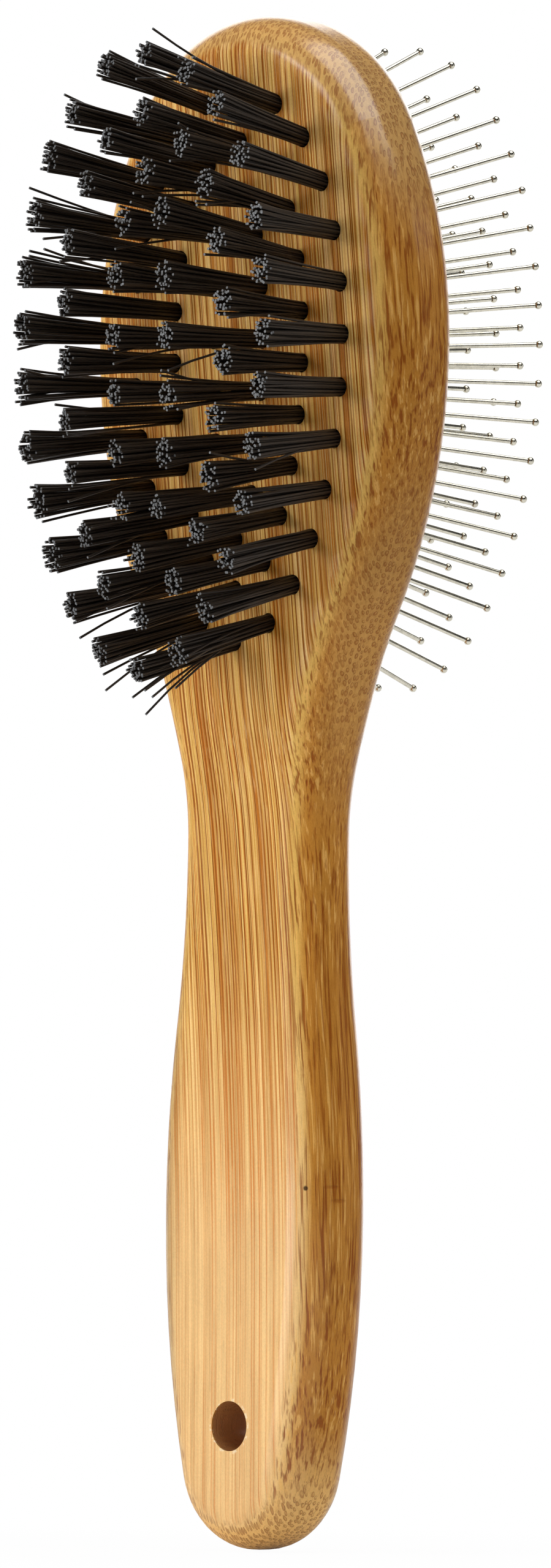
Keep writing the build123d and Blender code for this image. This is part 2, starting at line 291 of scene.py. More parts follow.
# Stretches of the brush, as heights in millimetres from where something is absent to where it
# is full.
CALM_HANDLE = (78.0, 34.0)
LOW_HANDLE = (46.0, 20.0)
# On the head the dark bands and strokes grow stronger: partly the grain's own streaks, partly painted shade
# under the tufts.
HEAD_STREAKS_AND_SHADE = (105.0, 135.0)
NECK_LEVEL, NECK_REACH = 117.0, 32.0


class Stalk:
    """Where a point lies in the stalk and how the surface cuts it there.

    x, y and z are the brush's own millimetres. straight is x carried along the fibres; u and v
    wander off it. flat is 1 on the two broad faces, front on the bristle face, frontward where
    the surface only leans towards that face, across where fibres are cut end on, and calm low
    on the bristle face. contrast is the strength of the broad dark bands and strokes, raised on
    the head partly for its stronger streaks and partly as painted shade under the tufts.
    """

    def __init__(self, tree):
        self.tree = tree
        self.place = place_in_mm(tree)
        self.x, self.y, self.z = self.place.split()
        drift_u, drift_v, _ = noise(tree, stretched(tree, self.place, *DRIFT_SCALE), 1.0, 0.5, 1).split()
        self.straight = along_fibres(self.x, self.z) + (drift_u - 0.5) * LINE_DRIFT
        self.u = self.straight + (drift_u - 0.5) * ROW_DRIFT_U
        self.v = self.y + (drift_v - 0.5) * ROW_DRIFT_V
        lengthways = vector(tree, self.u, self.v, self.z)
        self.grain = {
            name: noise(tree, stretched(tree, lengthways, *scale), detail, roughness)
            for name, (*scale, detail, roughness) in GRAIN.items()
        }

        _, self.facing, self.rising = Wire.make(tree, "ShaderNodeTexCoord", None, None, 1).split()
        self.flat = self.facing.maths("ABSOLUTE").ramp(0.90, 0.985)
        self.front = self.facing.ramp(-0.70, -0.97)
        self.frontward = self.facing.ramp(-0.05, -0.75)
        neck = self.z.bell(NECK_LEVEL, NECK_REACH) * (1 - self.frontward)
        self.across = self.rising.maths("ABSOLUTE").ramp(0.14, 0.40).maths("MAXIMUM", neck)
        self.calm = self.z.ramp(*CALM_HANDLE) * self.facing.ramp(-0.72, -0.97)
        # Stronger dark bands on the head: partly grain, partly painted shade under the tufts.
        self.contrast = (1.0 - 0.5 * self.calm) * (0.8 + 0.35 * self.z.ramp(*HEAD_STREAKS_AND_SHADE))

    def tinted(self, colour, tint, share):
        """A colour with a tint laid over it by a share."""
        return mixed(self.tree, colour, tint, share)


print("noises along the stalk:", ", ".join(GRAIN))

# %% [markdown]
# The bristle face and the pin face run along the fibres. Their ground changes slowly from strip
# to strip, because the board is glued up from several, and grows paler low on the handle. On it
# lie dark lines in loose groups, finer reddish hairs between them and a few pale ones, each
# fading in and out along its length.

# %% The flat faces
# Lines: spacing and width in millimetres, and a key.
DARK_LINES = (0.80, 0.17, 7.3)
RED_HAIRS = (0.45, 0.12, 2.9)
PALE_HAIRS = (0.58, 0.15, 31.7)
PALE_SHIFT = 0.21
BUTT = (2.0, -13.0)
ABOVE_BUTT = (10.0, 40.0)


def ground_colour(stalk):
    """The bamboo under its bundles: by face, height and glued strip, plus painted bounce light and sheen."""
    ground = stalk.tinted(SIDE_GROUND, FRONT_GROUND, stalk.front)
    ground = stalk.tinted(ground, PALE_GROUND, stalk.calm * 0.9)
    # Painted bounce light: the lowest part of the butt, off the bristle face, is made paler as if lit from
    # the floor.
    ground = stalk.tinted(ground, BUTT_BOUNCE_LIGHT, stalk.z.ramp(*BUTT) * (1 - stalk.front) * 0.85)
    # The end grain's own paler colour by height, plus a painted sheen where the end grain faces up.
    end_grain_and_sheen = 0.5 * stalk.z.ramp(*ABOVE_BUTT) + 0.4 * stalk.rising.ramp(0.1, 0.5)
    ground = stalk.tinted(ground, END_GRAIN_AND_SHEEN, stalk.across * end_grain_and_sheen)
    bands = stalk.grain["bands"]
    ground = stalk.tinted(ground, BUNDLE_SOFT, (bands - 0.44) * 4.5 * stalk.flat * stalk.contrast)
    return stalk.tinted(ground, FIBRE_LIGHT, (0.46 - bands) * 4.5 * stalk.flat)


def lined_faces(stalk, colour):
    """Lines and hairs on the flat faces. Gives the colour and how deep the lines are."""
    tree, grain, flat, calm = stalk.tree, stalk.grain, stalk.flat, stalk.calm
    bold, fine = 0.7 + 0.8 * grain["fades"], 0.6 + 0.8 * grain["fades"]
    lines = fibre_lines(tree, stalk.straight, *DARK_LINES) * bold
    lines = lines * (0.55 + 0.45 * grain["groups"].ramp(0.32, 0.60))
    hairs = fibre_lines(tree, stalk.straight, *RED_HAIRS) * fine * grain["patches"].ramp(0.2, 0.6)
    pale_hairs = fibre_lines(tree, stalk.straight + PALE_SHIFT, *PALE_HAIRS) * (1.4 - 1.4 * grain["patches"])
    lowest = stalk.z.ramp(*LOW_HANDLE)

    colour = stalk.tinted(colour, FIBRE_LIGHT, pale_hairs * flat * 0.7)
    colour = stalk.tinted(colour, FIBRE_RED, hairs * flat * (1.2 - 0.4 * calm - 0.6 * lowest))
    line_colour = stalk.tinted(LINE_DARK, LINE_PALE, calm)
    colour = stalk.tinted(colour, line_colour, lines * flat * (1.7 - 0.2 * calm - 0.7 * lowest))
    dark_strokes, light_strokes = grain["strokes"].ramp(0.56, 0.70), grain["strokes"].ramp(0.44, 0.32)
    colour = stalk.tinted(colour, LINE_DARK, dark_strokes * flat * stalk.contrast * 0.35)
    colour = stalk.tinted(colour, FIBRE_LIGHT, light_strokes * flat * 0.3)
    return colour, (0.3 * lines + 0.2 * hairs - 0.25 * pale_hairs) * flat


print("flat faces ready")

# %% [markdown]
# The edges of the board are rounded over and its outline is curved, so its sides meet the fibres
# at a slant. There a bundle is a short flame with a darker stroke beside it, longer where the
# handle runs straight. On the shoulders, the top and the butt the bundles are rings, a little
# uneven, because a sander tears them.

# %% The carved sides
STRAIGHT_FROM, STRAIGHT_TO = (6.0, 18.0), (100.0, 86.0)
# Rings: the clouds that dent them, to a millimetre, and by how many millimetres.
WOBBLE_SCALE = (0.8, 0.8, 0.30)
WOBBLE_U, WOBBLE_V = 0.30, 0.7


def carved_sides(stalk, colour):
    """Flames, strokes and rings off the flat faces. Gives the colour and how deep they are."""
    tree, grain, rounded = stalk.tree, stalk.grain, 1 - stalk.flat
    wobble_u, wobble_v, _ = noise(tree, stretched(tree, stalk.place, *WOBBLE_SCALE), 1.0, 0.5, 1).split()
    uneven = stalk.u + (wobble_u - 0.5) * WOBBLE_U, stalk.v + (wobble_v - 0.5) * WOBBLE_V
    outer, core, strength = bundle_rings(tree, *uneven)
    rings = outer * (1 - core * (0.75 - 0.5 * stalk.frontward)) * (0.7 + 0.3 * strength)
    rings = rings * stalk.across * rounded

    slanted = rounded * (1 - 0.75 * stalk.across)
    longer = stalk.z.ramp(*STRAIGHT_TO) * stalk.z.ramp(*STRAIGHT_FROM)
    flames = grain["short_flames"] + (grain["long_flames"] - grain["short_flames"]) * longer
    dark_flames = flames.ramp(0.53, 0.66) * slanted
    colour = stalk.tinted(colour, FLAME_LIGHT, flames.ramp(0.44, 0.35) * slanted * 0.7)
    colour = stalk.tinted(colour, BUNDLE_DARK, grain["strokes"].ramp(0.54, 0.68) * slanted * 0.6)
    colour = stalk.tinted(colour, BUNDLE_DARK, dark_flames * 0.8)
    colour = stalk.tinted(colour, BUNDLE_DARK, rings * 0.6)
    return colour, rings + 0.7 * dark_flames


print("carved sides ready")

# %% [markdown]
# A used brush is read by its marks. Brown stains run up one side from a joint of the stalk, which
# also left a small round pit and two shallow dents. The bore of the hang hole is darker than the
# face, and the drill has chipped its rim. Each mark is a mask from a distance in millimetres.

# %% Marks
HOLE_RIM, CHIP_WIDTH = 4.05, 0.45
BORE_WALL, BORE_HALF_DEPTH = (4.1, 3.95), (7.0, 6.6)
PIT_PLACE, PIT_EDGE = (15.3, -6.07, 36.7), (0.48, 0.22)
# Dents on the right side: y, z, half length and half width.
DENTS = [(-2.7, 36.9, 1.5, 0.30), (-1.6, 34.8, 1.6, 0.36)]
DENTED_SIDE = (15.0, 16.5)
STAINED_SIDE = (11.0, 15.0), (-6.0, -4.0)
STAIN_LEVEL, STAIN_REACH = 58.0, 42.0


def dent_mask(stalk, y, z, half_length, half_width):
    """An oval spot: the distance from (y, z), each axis divided by its half size."""
    along, up = (stalk.y - y) / half_length, (stalk.z - z) / half_width
    return (along * along + up * up).maths("SQRT").ramp(1.2, 0.3)


def marked(stalk, colour):
    """Stains, bore, chips, pit and dents. Gives the colour and how deep the marks are."""
    tree, x, y, z = stalk.tree, stalk.x, stalk.y, stalk.z
    stained_x, stained_y = STAINED_SIDE
    stains = x.ramp(*stained_x) * y.ramp(*stained_y) * z.bell(STAIN_LEVEL, STAIN_REACH)
    colour = stalk.tinted(colour, STAIN_BROWN, stains * stalk.grain["streaks"].ramp(0.46, 0.62) * 0.3)

    reach = (x * x + z * z).maths("SQRT")
    bore = reach.ramp(*BORE_WALL) * y.maths("ABSOLUTE").ramp(*BORE_HALF_DEPTH)
    colour = stalk.tinted(colour, BORE_BROWN, bore * 0.9)
    crumbs = noise(tree, stretched(tree, stalk.place, 1.1, 1.1, 1.1), 2.0, 0.6).ramp(0.52, 0.6)
    chips = reach.bell(HOLE_RIM, CHIP_WIDTH) * (1 - bore) * crumbs
    colour = stalk.tinted(colour, CHIP_PALE, chips * 0.8)

    off = [wire - centre for wire, centre in zip((x, y, z), PIT_PLACE)]
    pit = (off[0] * off[0] + off[1] * off[1] + off[2] * off[2]).maths("SQRT").ramp(*PIT_EDGE)
    colour = stalk.tinted(colour, PIT_BROWN, pit * 0.9)
    first, second = (dent_mask(stalk, *dent) for dent in DENTS)
    dents = x.ramp(*DENTED_SIDE) * (first + second)
    colour = stalk.tinted(colour, BUNDLE_DARK, dents * 0.4)
    return colour, 1.2 * dents + 1.5 * pit


print("marks:", len(DENTS), "dents, a pit, the stains and the hang hole")

# %% [markdown]
# The last step puts the layers together. Large soft clouds and fine specks darken the colour;
# painted shade darkens the left edge of the handle, and a painted shadow of the tufts the head
# right of them. The varnish is a coat over the wood: thin on the bristle face and the sides, and
# thick on the shoulders, on the pin side and low on the rounded edge of the handle. Its roughness
# is one number, set on the shader itself.

# %% Varnished bamboo
# Where painted shade falls: the handle's left edge, and the head's right part in the tufts' shadow.
HANDLE_EDGE_SHADE = (-10.0, -16.0), (96.0, 60.0)
TUFT_SHADOW_RIGHT = (14.0, 22.0), (118.0, 135.0)
GLOSSY_HANDLE = (48.0, 26.0)


def shaded(stalk, colour, specks):
    """The colour times a grey of clouds and specks, with painted shade along two edges."""
    tree = stalk.tree
    clouds = noise(tree, stretched(tree, stalk.place, 0.14, 0.14, 0.06), 3.0, 0.6)
    # Painted shade: the left edge of the handle is darkened where less light falls on it.
    handle_edge_shade = stalk.x.ramp(*HANDLE_EDGE_SHADE[0]) * stalk.z.ramp(*HANDLE_EDGE_SHADE[1])
    # Painted shadow: the head right of the tufts is darkened where their shadow falls.
    tuft_shadow_right = stalk.x.ramp(*TUFT_SHADOW_RIGHT[0]) * stalk.z.ramp(*TUFT_SHADOW_RIGHT[1])
    shade = 0.74 + 0.26 * clouds + 0.30 * specks - (0.44 * handle_edge_shade + 0.16 * tuft_shadow_right)
    grey = Wire.make(tree, "ShaderNodeCombineColor", None, {0: shade, 1: shade, 2: shade})
    return mixed(tree, colour, grey, 1.0, "MULTIPLY")


def varnish_coat(stalk):
    """How thick the varnish is: on the low rounded edge, on what faces up, and on the pin side."""
    edge = stalk.z.ramp(*GLOSSY_HANDLE) * stalk.frontward * stalk.rising.ramp(-0.85, -0.25)
    top = stalk.rising.ramp(0.10, 0.40)
    return 0.06 + 0.3 * edge + 0.94 * top + 0.55 * stalk.facing.ramp(0.1, 0.6)


def bamboo():
    """Varnished bamboo for the whole body."""
    made, tree = new_material("varnished bamboo")
    stalk = Stalk(tree)
    colour, line_depth = lined_faces(stalk, ground_colour(stalk))
    colour, cut_depth = carved_sides(stalk, colour)
    colour, mark_depth = marked(stalk, colour)
    specks = noise(tree, stretched(tree, stalk.place, 4.2, 4.2, 3.2), 2.0, 0.7)
    height = 0.5 * specks - cut_depth - line_depth - mark_depth
    bump = {"Strength": 0.75, "Distance": 0.14 * MM, "Height": height}
    sockets = {
        "Base Color": shaded(stalk, colour, specks), "Roughness": 0.38 + 0.18 * specks,
        "Normal": Wire.make(tree, "ShaderNodeBump", None, bump),
        "IOR": 1.5, "Specular IOR Level": 0.06,
        "Coat IOR": 1.8, "Coat Roughness": 0.21, "Coat Weight": varnish_coat(stalk),
    }
    finish_surface(tree, Wire.make(tree, "ShaderNodeBsdfPrincipled", None, sockets))
    return made


def dress(node, material):
    """Gives a CAD node one material."""
    node.data.materials.clear()
    node.data.materials.append(material)


dress(nodes["handle_body"], bamboo())
print("bamboo on handle_body")

# %% [markdown]
# The pins and the anchors are drawn steel. A metal this bright shows almost nothing of its own
# colour, only the room around it, so its material is short: a warm grey, a small roughness and
# the fine scratches of the wire die.

# %% Steel
WORN = 0.82


def steel(name, tint, roughness):
    """Polished wire with faint uneven patches, which are darker by the worn share."""
    made, tree = new_material(name)
    place = place_in_mm(tree)
    patches = noise(tree, stretched(tree, place, 1.1, 1.1, 1.1), 3.0, 0.6)
    scratches = noise(tree, stretched(tree, place, 9.0, 1.2, 9.0), 2.0, 0.6)
    darker = tuple(WORN * part for part in tint[:3]) + (1.0,)
    bump = {"Strength": 0.12, "Distance": 0.02 * MM, "Height": scratches}
    sockets = {
        "Base Color": mixed(tree, tint, darker, patches.ramp(0.4, 0.65)),
        "Metallic": 1.0, "Roughness": roughness + 0.12 * patches,
        "Normal": Wire.make(tree, "ShaderNodeBump", None, bump),
    }
    finish_surface(tree, Wire.make(tree, "ShaderNodeBsdfPrincipled", None, sockets))
    return made


pin_steel = steel("polished pin steel", screen_colour(232, 227, 210), 0.12)
wire_steel = steel("anchor wire", screen_colour(190, 188, 184), 0.28)
for name, node in nodes.items():
    if name.startswith("pins_"):
        dress(node, pin_steel)
    elif name.startswith("anchors_"):
        dress(node, wire_steel)
print("steel on", sum(name.startswith(("pins_", "anchors_")) for name in nodes), "nodes")

# %% [markdown]
# Every tuft is a bunch of about forty nylon strands, folded in half over its anchor and packed
# tight where it leaves the hole. Strands lean outwards as they rise, in little clumps, and a few
# go astray. Each ring of tufts is an egg-shaped oval; its places come from the same few sizes as
# the drilled holes, so every bunch stands in its own hole.

# %% Where the tufts stand
FIELD_Z = 162.3
FACE_Y = 7.7
EGG = 0.1
TUFT_RINGS = {
    # name: number of tufts, half width, half length, lean across in degrees
    "outer": (26, 22.7, 42.1, 10.6),
    "middle": (20, 14.0, 34.35, 9.4),
    "inner": (14, 5.3, 26.6, 1.7),
}
LEAN_ALONG = 14.0


def half_oval(count, half_width, half_length, first=0.0):
    """The right half of count spots round an egg, equal steps apart from first steps off its top.

    The egg is width x sin(a) x (1 + egg x cos(a)) across and length x cos(a) along.
    """
    angle = np.linspace(0, math.pi, 4001)
    across = half_width * np.sin(angle) * (1 + EGG * np.cos(angle))
    along = half_length * np.cos(angle)
    walked = np.concatenate([[0], np.cumsum(np.hypot(np.diff(across), np.diff(along)))])
    steps = np.arange(first, count / 2 + 0.1) * (2 * walked[-1] / count)
    return np.stack([np.interp(steps, walked, across), np.interp(steps, walked, along)], 1)


def leaning(across_degrees, along_degrees):
    """Unit directions off the bristle face, leaning sideways and up by two angles."""
    sideways, up = np.radians(across_degrees), np.radians(along_degrees)
    return np.stack([
        np.sin(sideways) * np.cos(up), -np.cos(sideways) * np.cos(up), np.sin(up)
    ], -1)


def tuft_places(ring):
    """Feet on the wood and directions of one ring's tufts."""
    count, half_width, half_length, lean = TUFT_RINGS[ring]
    right = half_oval(count, half_width, half_length)
    spots = np.concatenate([right, right[1:-1] * (-1, 1)])
    feet = np.stack([spots[:, 0], np.full(len(spots), -FACE_Y), FIELD_Z + spots[:, 1]], 1)
    outer_half_length = TUFT_RINGS["outer"][2]
    return feet, leaning(lean * spots[:, 0] / half_width, LEAN_ALONG * spots[:, 1] / outer_half_length)


print("tufts:", {ring: len(tuft_places(ring)[0]) for ring in TUFT_RINGS})

# %% [markdown]
# One strand is a six-sided tube with a few rings along it: a profile carried along a path. With
# thousands of strands each may have only a few faces, so the paths of a whole ring of tufts are
# one array, and all their rings are worked out together. The last rings lie close together and
# swell a little, as a cut end does. The UV map keeps how far along a strand each point is, for
# its material.

# %% Strands from paths
LARGEST_SMOOTH = 4


def side_axes(direction):
    """Two unit vectors square to each direction: a cross product with X, then with itself."""
    first = np.cross(direction, [1.0, 0.0, 0.0])
    first /= np.linalg.norm(first, axis=-1, keepdims=True)
    return first, np.cross(direction, first)


def mesh_piece(name, points, face_sets, body, material, uv=None):
    """A mesh object made from arrays, in metres, that rides on a CAD body.

    face_sets is a list of arrays, one for each number of corners. Faces with more than four
    corners are flat ends and stay unsmoothed.
    """
    mesh = bpy.data.meshes.new(name)
    mesh.vertices.add(len(points))
    mesh.vertices.foreach_set("co", np.asarray(points, np.float32).ravel())
    corners = np.concatenate([np.asarray(faces, np.int32).ravel() for faces in face_sets])
    sizes = np.repeat([faces.shape[1] for faces in face_sets], [len(faces) for faces in face_sets])
    mesh.loops.add(len(corners))
    mesh.loops.foreach_set("vertex_index", corners)
    mesh.polygons.add(len(sizes))
    mesh.polygons.foreach_set("loop_start", (np.cumsum(sizes) - sizes).astype(np.int32))
    mesh.update(calc_edges=True)
    mesh.polygons.foreach_set("use_smooth", sizes <= LARGEST_SMOOTH)
    if uv is not None:
        layer = mesh.uv_layers.new(name="UVMap")
        layer.data.foreach_set("uv", np.asarray(uv, np.float32)[corners].ravel())
    mesh.materials.append(material)
    mesh.validate()
    piece = bpy.data.objects.new(name, mesh)
    bpy.context.scene.collection.objects.link(piece)
    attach(piece, body)
    print(name, len(points), "points", len(sizes), "faces")
    return piece


def tubes(paths, radii, sides=6):
    """Closed tubes: at each path point a circle of the point's radius, square to the path.

    paths is tubes x stations x 3, radii tubes x stations. Gives points, the face arrays (sides
    and two end caps a tube) and a UV per point.
    """
    count, stations, _ = paths.shape
    along = np.gradient(paths, axis=1)
    along /= np.linalg.norm(along, axis=-1, keepdims=True)
    first, second = side_axes(along)
    turn = np.arange(sides) * 2 * math.pi / sides
    circle = (
        np.cos(turn)[None, None, :, None] * first[:, :, None]
        + np.sin(turn)[None, None, :, None] * second[:, :, None]
    )
    points = paths[:, :, None] + radii[:, :, None, None] * circle
    tube, station, side = np.meshgrid(
        np.arange(count), np.arange(stations - 1), np.arange(sides), indexing="ij"
    )

    def index(station_now, side_now):
        return (tube * stations + station_now) * sides + side_now % sides

    quads = np.stack([
        index(station, side), index(station, side + 1),
        index(station + 1, side + 1), index(station + 1, side),
    ], -1).reshape(-1, 4)
    foot = np.arange(count)[:, None] * stations * sides + np.arange(sides)[::-1]
    end = np.arange(count)[:, None] * stations * sides + (stations - 1) * sides + np.arange(sides)
    share = np.broadcast_to(np.linspace(0, 1, stations)[None, :, None], points.shape[:3])
    pick = np.broadcast_to(np.linspace(0, 1, count)[:, None, None], points.shape[:3])
    uv = np.stack([pick, share], -1).reshape(-1, 2)
    return points.reshape(-1, 3), [quads, np.concatenate([foot, end])], uv


print("strand helpers ready")

# %% [markdown]
# The bunches. A packed disc of strands is a sunflower spiral: the n-th strand sits at the square
# root of n from the middle, a golden angle further round. The same spiral, wider and pulled out
# along the brush, gives the tips. The way from foot to tip is eased, so a bunch stays tight at
# the wood and opens towards its end.

# %% Bristle bunches
STRANDS = 44
STRAND_RADIUS = 0.19
EXPOSED, SUNK = 21.4, 0.6
FOOT_RADIUS = 1.36
TIP_SPREAD = (1.62, 2.10)
GOLDEN_ANGLE = 2.399963
CLUMP_PULL = 0.28
# Stations along a strand, as shares of its length, and its swelling at each.
STATIONS = np.array([0.0, 0.25, 0.5, 0.75, 0.992, 1.0])
SWELLING = np.array([1.0, 1.0, 1.0, 1.0, 1.08, 1.12])
# Tufts left of this open wider, and tufts below this height have more strays, which also hang.
WIDE_LEFT_OF, WIDER = -16.0, 0.3
LOWEST_TUFTS = 126.0
STRAYS, LOW_STRAYS = 0.035, 0.06


def bunch_paths(feet, aim, random):
    """Paths and radii of all strands of some tufts, in millimetres.

    At a share s of its length a strand is off the tuft's middle line by foot + (tip - foot) x
    s^1.6 + bow x sin(pi s).
    """
    tufts = len(feet)
    spin = random.uniform(0, 2 * math.pi, (tufts, 1))
    order = np.arange(STRANDS)[None, :] + 0.5
    turn = order * GOLDEN_ANGLE + spin
    reach = np.sqrt(order / STRANDS)
    aim = aim + random.normal(0, 0.018, aim.shape)
    aim /= np.linalg.norm(aim, axis=-1, keepdims=True)
    up, side = side_axes(aim)

    own = np.stack([reach * np.cos(turn), reach * np.sin(turn)], -1)
    foot = own * FOOT_RADIUS
    clump = (np.floor(turn / 0.9) * 7 + np.floor(reach * 2.5) * 3) % 11
    pull = np.stack([np.sin(clump * 2.1 + spin), np.cos(clump * 3.7 + spin)], -1) * CLUMP_PULL
    open_out = 1 + WIDER * (feet[:, 0] < WIDE_LEFT_OF) + random.normal(0, 0.06, tufts)
    tip = own * TIP_SPREAD * open_out[:, None, None] + pull + random.normal(0, 0.16, own.shape)
    lowest = feet[:, 2:3] < LOWEST_TUFTS
    astray = random.random((tufts, STRANDS)) < STRAYS + LOW_STRAYS * lowest
    tip += astray[..., None] * random.normal(0, 1.0, own.shape) * (1.1, 2.0)
    tip[..., 1] -= astray * lowest * random.uniform(1.0, 5.0, (tufts, STRANDS))

    ease = STATIONS**1.6
    length = EXPOSED - np.abs(random.normal(0, 0.38, (tufts, STRANDS))) - 0.25 * reach**2
    bow = random.normal(0, 0.10, (tufts, STRANDS, 2))
    flat = (
        foot[:, :, None] + (tip - foot)[:, :, None] * ease[:, None]
        + bow[:, :, None] * np.sin(math.pi * STATIONS)[:, None]
    )
    rise = -SUNK + (length[:, :, None] + SUNK) * STATIONS
    paths = (
        feet[:, None, None] + rise[..., None] * aim[:, None, None]
        + flat[..., 0:1] * side[:, None, None] + flat[..., 1:2] * up[:, None, None]
    )
    paths = paths.reshape(-1, len(STATIONS), 3)
    return paths, np.broadcast_to(STRAND_RADIUS * SWELLING, paths.shape[:2])


print(STRANDS, "strands a tuft, tips spread over", TIP_SPREAD, "mm")

# %% [markdown]
# Nylon bristles look black but are a very dark brown, and their cut ends scatter light and look
# grey. The UV map's second number tells the ends apart, and a noise over the first, which is
# different for every strand, keeps neighbours from matching.

# %% Nylon
NYLON_DARK = screen_colour(48, 42, 37)
NYLON_LIGHT = screen_colour(66, 58, 50)
NYLON_CUT = screen_colour(104, 106, 108)
CUT_END = (0.9925, 0.999)


def nylon():
    """Black-brown nylon, a little shiny, with paler cut ends."""
    made, tree = new_material("black nylon")
    uv = Wire.make(tree, "ShaderNodeTexCoord", None, None, 2)
    pick, share, _ = uv.split()
    tone = noise(tree, vector(tree, pick * 3000.0, share * 2.0, 0.0), 1.0)
    colour = mixed(tree, NYLON_DARK, NYLON_LIGHT, tone.ramp(0.45, 0.8))
    colour = mixed(tree, colour, NYLON_CUT, share.ramp(*CUT_END) * tone.ramp(0.2, 0.6))
    sockets = {
        "Base Color": colour, "Roughness": 0.5 - 0.1 * tone,
        "IOR": 1.5, "Specular IOR Level": 0.3,
    }
    finish_surface(tree, Wire.make(tree, "ShaderNodeBsdfPrincipled", None, sockets))
    return made


print("nylon ready")

# %% Three ovals of tufts
black_nylon = nylon()
random = np.random.default_rng(31)
for ring in TUFT_RINGS:
    paths, thick = bunch_paths(*tuft_places(ring), random)
    points, faces, uv = tubes(paths, thick)
    piece = mesh_piece(f"bristles_{ring}", points * MM, faces, "brush", black_nylon, uv)
    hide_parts(*[name for name in nodes if name.startswith(f"tufts_{ring}_")])

# %% [markdown]
# The pins stand in a moulded rubber cushion with air under it. Seen from outside it is one smooth
# dome in an oval seat, with a small pucker where each pin comes through. The dome is a height
# over the field: an arc across the brush, swung about a far axis along it. A grid laid out in
# rings from the middle to the rim follows its outline exactly.

# %% The air cushion
DOME_HALF_WIDTH, DOME_HALF_LENGTH, DOME_RISE = 23.9, 44.7, 5.0
SEAT_Y = 3.2
PIN_COUNTS = (40, 34, 30, 20)
PIN_HALF_WIDTH, PIN_HALF_LENGTH = 20.2, 41.0
PIN_STEP_IN, PIN_STEP_UP = 4.8, 6.0
MIDDLE_PINS, MIDDLE_STEP = 6, 5.0
# A pucker is a low ring round a pin less a dimple at it: height, radius and width of each.
PUCKER_RISE, PUCKER_RADIUS, PUCKER_WIDTH = 0.16, 0.95, 0.35
DIMPLE_DEPTH, DIMPLE_WIDTH = 0.30, 0.55
# The rim turns down to the seat: steps inwards and down from the edge of the dome.
RIM = [(0.0, 0.0), (-0.10, -0.35), (-0.12, -1.4)]


def arc_radius(half_span):
    """Radius of an arc that rises by the dome's rise over half a span."""
    return (half_span**2 + DOME_RISE**2) / (2 * DOME_RISE)


def dome_height(across, along):
    """Y of the dome over a spot: an arc across the brush, swung about a far axis."""
    cross, lengthways = arc_radius(DOME_HALF_WIDTH), arc_radius(DOME_HALF_LENGTH)
    swing = lengthways - cross + np.sqrt(cross**2 - across**2)
    return FACE_Y + DOME_RISE - lengthways + np.sqrt(swing**2 - along**2)


def pin_spots():
    """Spots of the pins on the field: four egg-shaped rings and a middle row."""
    spots = []
    for ring, count in enumerate(PIN_COUNTS):
        half_width = PIN_HALF_WIDTH - PIN_STEP_IN * ring
        half_length = PIN_HALF_LENGTH - PIN_STEP_UP * ring
        right = half_oval(count, half_width, half_length, 0.5)
        spots += [right, right * (-1, 1)]
    middle = (np.arange(MIDDLE_PINS) - (MIDDLE_PINS - 1) / 2) * MIDDLE_STEP
    spots.append(np.stack([np.zeros(MIDDLE_PINS), middle], 1))
    return np.concatenate(spots)


def puckered(height, across, along):
    """The height with a ring and a dimple at each pin, both bell curves of the way to the pin."""
    pins = pin_spots()
    gap = np.min(np.hypot(across[..., None] - pins[:, 0], along[..., None] - pins[:, 1]), -1)
    ring = PUCKER_RISE * np.exp(-(((gap - PUCKER_RADIUS) / PUCKER_WIDTH) ** 2))
    return height + ring - DIMPLE_DEPTH * np.exp(-((gap / DIMPLE_WIDTH) ** 2))


def cushion_rows(rings, spokes):
    """Closed rows of points from near the middle of the dome out and down to its seat."""
    out = np.linspace(0, 1, rings)[1:, None] ** 0.9
    turn = np.arange(spokes)[None, :] * 2 * math.pi / spokes
    across = out * DOME_HALF_WIDTH * np.sin(turn)
    along = out * DOME_HALF_LENGTH * np.cos(turn)
    height = puckered(dome_height(across, along), across, along)
    edge_across, edge_height, edge_along = across[-1:], height[-1:], along[-1:]
    rows = [np.stack([across, height, along + FIELD_Z], -1)]
    for step_in, step_down in RIM:
        wide = 1 + step_in / DOME_HALF_WIDTH
        level = np.maximum(edge_height + step_down, SEAT_Y)
        rows.append(np.stack([edge_across * wide, level, edge_along * wide + FIELD_Z], -1))
    rows.append(np.stack([edge_across, np.full_like(edge_height, SEAT_Y), edge_along + FIELD_Z], -1))
    return np.concatenate(rows)


def cushion_grid(rings=110, spokes=300):
    """Points and faces of the rubber, closed by a fan at the middle and one under the seat."""
    rows = cushion_rows(rings, spokes)
    middle = [[0.0, dome_height(0.0, 0.0), FIELD_Z]]
    points = np.concatenate([middle, rows.reshape(-1, 3), [[0.0, SEAT_Y, FIELD_Z]]])
    row, spoke = np.meshgrid(np.arange(len(rows) - 1), np.arange(spokes), indexing="ij")

    def index(row_now, spoke_now):
        return 1 + row_now * spokes + spoke_now % spokes

    quads = np.stack([
        index(row, spoke), index(row + 1, spoke), index(row + 1, spoke + 1), index(row, spoke + 1)
    ], -1).reshape(-1, 4)
    spoke, last = np.arange(spokes), len(rows) - 1
    top = np.stack([np.zeros_like(spoke), index(0, spoke), index(0, spoke + 1)], -1)
    under = np.full_like(spoke, len(points) - 1)
    bottom = np.stack([under, index(last, spoke + 1), index(last, spoke)], -1)
    return points, [quads, np.concatenate([top, bottom])]


print("pins through the rubber:", len(pin_spots()))

# %% [markdown]
# The rubber is black and dull, like a tyre. Fine pores come from the mould, and the powder that
# kept it from sticking leaves a slightly lighter bloom, both of them noises.

# %% Rubber
RUBBER_DARK, RUBBER_BLOOM = screen_colour(30, 29, 29), screen_colour(52, 50, 49)


